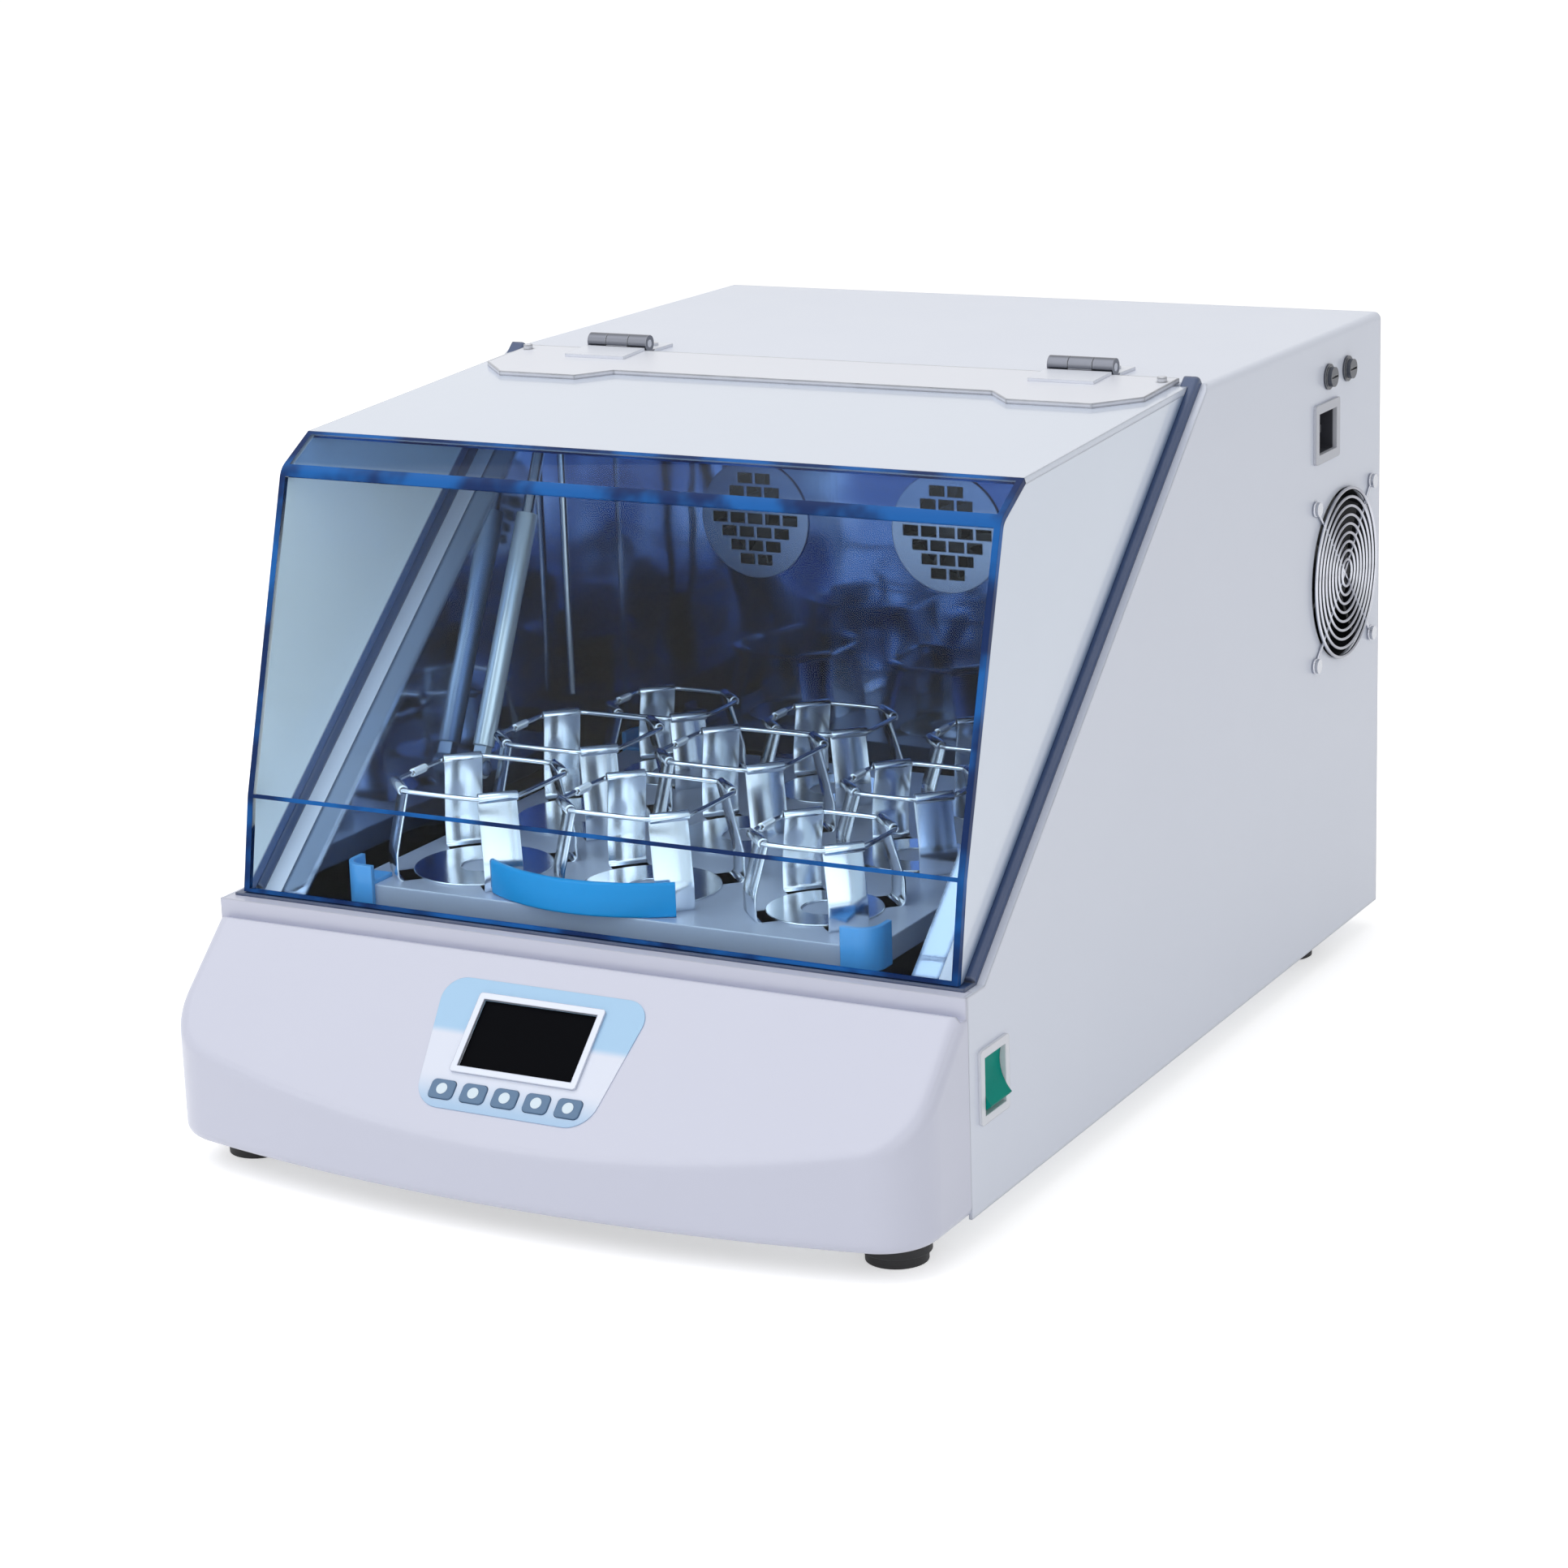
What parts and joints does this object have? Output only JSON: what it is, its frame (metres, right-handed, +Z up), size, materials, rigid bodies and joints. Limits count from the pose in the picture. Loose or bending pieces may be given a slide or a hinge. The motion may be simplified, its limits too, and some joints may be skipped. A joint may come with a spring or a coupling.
{
  "type": "incubated benchtop shaker",
  "caption": "Benchtop orbital shaker incubator with a tinted lifting hood, a sloping control panel, a clamp platform and a side fan.",
  "frame": {"origin": "on the bench under the middle of the bounding box", "axes": "+Z up, the control panel faces -Y, the side with the fan guard faces +X"},
  "size_m": [0.5058, 0.752, 0.442],
  "materials": {
    "white_paint": "smooth powder coat",
    "white_plastic": "smooth moulded",
    "pan_zinc": "zinc plated",
    "liner_steel": "bright stainless",
    "foot_rubber": "matt",
    "gasket_rubber": "satin extruded",
    "insulation_foam": "fibre slab",
    "screw_steel": "bright plated",
    "hinge_steel": "satin",
    "overlay_film": "printed film",
    "bezel_silver": "silver",
    "screen_dark": "dark display window",
    "switch_white": "moulded",
    "inlet_black": "moulded",
    "fuse_black": "moulded",
    "guard_chrome": "bright wire",
    "fan_black": "moulded",
    "grille_steel": "satin",
    "heater_steel": "heat-tinted",
    "probe_steel": "satin",
    "cast_grey": "machined casting",
    "bearing_steel": "ground",
    "motor_metal": "satin",
    "belt_rubber": "matt",
    "post_aluminium": "turned",
    "lid_tint": "clear blue-tinted acrylic",
    "lid_white": "smooth",
    "lid_side": "smooth pale",
    "strip_white": "smooth",
    "strut_grey": "satin",
    "rod_chrome": "ground",
    "rocker_green": "translucent green",
    "key_slate": "printed dome",
    "shaft_steel": "turned",
    "tray_slate": "slate anodised",
    "cap_blue": "moulded",
    "handle_blue": "moulded",
    "clamp_steel": "bright spring steel",
    "ring_steel": "bright wire"
  },
  "bodies": {
    "case": {"base_pan": "pan_zinc", "outer_casing": "white_paint", "rear_panel": "white_paint", "front_fascia": "white_plastic", "chamber_liner": "liner_steel", "lid_gasket": "gasket_rubber", "insulation_panels": "insulation_foam", "rubber_feet": "foot_rubber", "case_screws": "screw_steel", "hinge_leaves_case": "hinge_steel", "hinge_pins": "screw_steel", "control_overlay": "overlay_film", "display_bezel": "bezel_silver", "display_module": "screen_dark", "switch_housing": "switch_white", "power_inlet": "inlet_black", "fuse_holders": "fuse_black", "fan_guard": "guard_chrome", "fan_frame": "fan_black", "fan_grilles": "grille_steel", "heater_coil": "heater_steel", "temperature_probe": "probe_steel", "bearing_housing": "cast_grey", "ball_bearings": "bearing_steel", "motor": "motor_metal", "blower_motors": "motor_metal", "drive_belt": "belt_rubber", "idler_posts": "post_aluminium"},
    "lid": {"lid_front_hood": "lid_tint", "lid_top_panel": "lid_white", "lid_side_left": "lid_side", "lid_side_right": "lid_side", "hinge_strip": "strip_white", "hinge_leaves_lid": "hinge_steel", "strut_brackets_lid": "hinge_steel"},
    "platform": {"drive_plate": "post_aluminium", "platform_tray": "tray_slate", "corner_caps": "cap_blue", "pull_handle": "handle_blue", "flask_clamps_large": "clamp_steel", "flask_clamps_small": "clamp_steel", "clamp_rings": "ring_steel"},
    "drive": {"drive_shaft": "shaft_steel", "drive_pulley": "post_aluminium"},
    "motor_pulley": {"motor_pulley": "shaft_steel"},
    "idler_left": {"idler_crank_left": "shaft_steel"},
    "idler_right": {"idler_crank_right": "shaft_steel"},
    "fan": {"fan_rotor": "fan_black"},
    "impeller_left": {"impeller_left": "post_aluminium"},
    "impeller_right": {"impeller_right": "post_aluminium"},
    "rocker": {"power_rocker": "rocker_green"},
    "cylinder_left": {"strut_cylinder_left": "strut_grey"},
    "rod_left": {"strut_rod_left": "rod_chrome"},
    "cylinder_right": {"strut_cylinder_right": "strut_grey"},
    "rod_right": {"strut_rod_right": "rod_chrome"},
    "key_1": {"key_1": "key_slate"},
    "key_2": {"key_2": "key_slate"},
    "key_3": {"key_3": "key_slate"},
    "key_4": {"key_4": "key_slate"},
    "key_5": {"key_5": "key_slate"}
  },
  "joints": [
    {"name": "lid_hinge", "type": "hinge", "parent": "case", "child": "lid", "pos_m": [0, 0.076, 0.4365], "axis": [-1, 0, 0], "range_deg": [0, 60]},
    {"name": "strut_pivot_left", "type": "hinge", "parent": "case", "child": "cylinder_left", "pos_m": [-0.192, -0.07754, 0.18407], "axis": [1, 0, 0], "range_deg": [0, 7.17]},
    {"name": "strut_slide_left", "type": "slide", "parent": "cylinder_left", "child": "rod_left", "axis": [0, 0.4321, 0.9018], "range_m": [0, 0.05733]},
    {"name": "strut_pivot_right", "type": "hinge", "parent": "case", "child": "cylinder_right", "pos_m": [0.192, -0.07754, 0.18407], "axis": [1, 0, 0], "range_deg": [0, 7.17]},
    {"name": "strut_slide_right", "type": "slide", "parent": "cylinder_right", "child": "rod_right", "axis": [0, 0.4321, 0.9018], "range_m": [0, 0.05733]},
    {"name": "rocker_pivot", "type": "hinge", "parent": "case", "child": "rocker", "pos_m": [0.243, -0.2505, 0.091], "axis": [0, 1, 0], "range_deg": [0, 28]},
    {"name": "key_press_1", "type": "slide", "parent": "case", "child": "key_1", "axis": [0, 0.682, -0.7314], "range_m": [0, 0.0012], "stiffness_N_per_m": 400, "springref_m": -0.0002},
    {"name": "key_press_2", "type": "slide", "parent": "case", "child": "key_2", "axis": [0, 0.682, -0.7314], "range_m": [0, 0.0012], "stiffness_N_per_m": 400, "springref_m": -0.0002},
    {"name": "key_press_3", "type": "slide", "parent": "case", "child": "key_3", "axis": [0, 0.682, -0.7314], "range_m": [0, 0.0012], "stiffness_N_per_m": 400, "springref_m": -0.0002},
    {"name": "key_press_4", "type": "slide", "parent": "case", "child": "key_4", "axis": [0, 0.682, -0.7314], "range_m": [0, 0.0012], "stiffness_N_per_m": 400, "springref_m": -0.0002},
    {"name": "key_press_5", "type": "slide", "parent": "case", "child": "key_5", "axis": [0, 0.682, -0.7314], "range_m": [0, 0.0012], "stiffness_N_per_m": 400, "springref_m": -0.0002},
    {"name": "fan_spin", "type": "hinge", "parent": "case", "child": "fan", "pos_m": [0.23, 0.305, 0.266], "axis": [1, 0, 0], "continuous": true},
    {"name": "impeller_spin_left", "type": "hinge", "parent": "case", "child": "impeller_left", "pos_m": [-0.098, 0.142, 0.313], "axis": [0, 1, 0], "continuous": true},
    {"name": "impeller_spin_right", "type": "hinge", "parent": "case", "child": "impeller_right", "pos_m": [0.044, 0.142, 0.313], "axis": [0, 1, 0], "continuous": true},
    {"name": "drive_spin", "type": "hinge", "parent": "case", "child": "drive", "pos_m": [0, -0.065, 0.08], "axis": [0, 0, 1], "continuous": true},
    {"name": "platform_orbit", "type": "hinge", "parent": "drive", "child": "platform", "pos_m": [0, -0.075, 0.13], "axis": [0, 0, 1], "continuous": true},
    {"name": "motor_spin", "type": "hinge", "parent": "case", "child": "motor_pulley", "pos_m": [0, 0.185, 0.08], "axis": [0, 0, 1], "continuous": true},
    {"name": "idler_spin_left", "type": "hinge", "parent": "case", "child": "idler_left", "pos_m": [-0.12, 0.02, 0.08], "axis": [0, 0, 1], "continuous": true},
    {"name": "idler_spin_right", "type": "hinge", "parent": "case", "child": "idler_right", "pos_m": [0.12, 0.02, 0.08], "axis": [0, 0, 1], "continuous": true}
  ],
  "couplings": [
    {"joint": "strut_pivot_left", "follows": "lid_hinge", "ratio": 0.11923},
    {"joint": "strut_slide_left", "follows": "lid_hinge", "m_per_rad": 0.054649},
    {"joint": "strut_pivot_right", "follows": "lid_hinge", "ratio": 0.11923},
    {"joint": "strut_slide_right", "follows": "lid_hinge", "m_per_rad": 0.054649},
    {"joint": "platform_orbit", "follows": "drive_spin", "ratio": -1},
    {"joint": "motor_spin", "follows": "drive_spin", "ratio": 3},
    {"joint": "idler_spin_left", "follows": "drive_spin", "ratio": 1},
    {"joint": "idler_spin_right", "follows": "drive_spin", "ratio": 1}
  ]
}
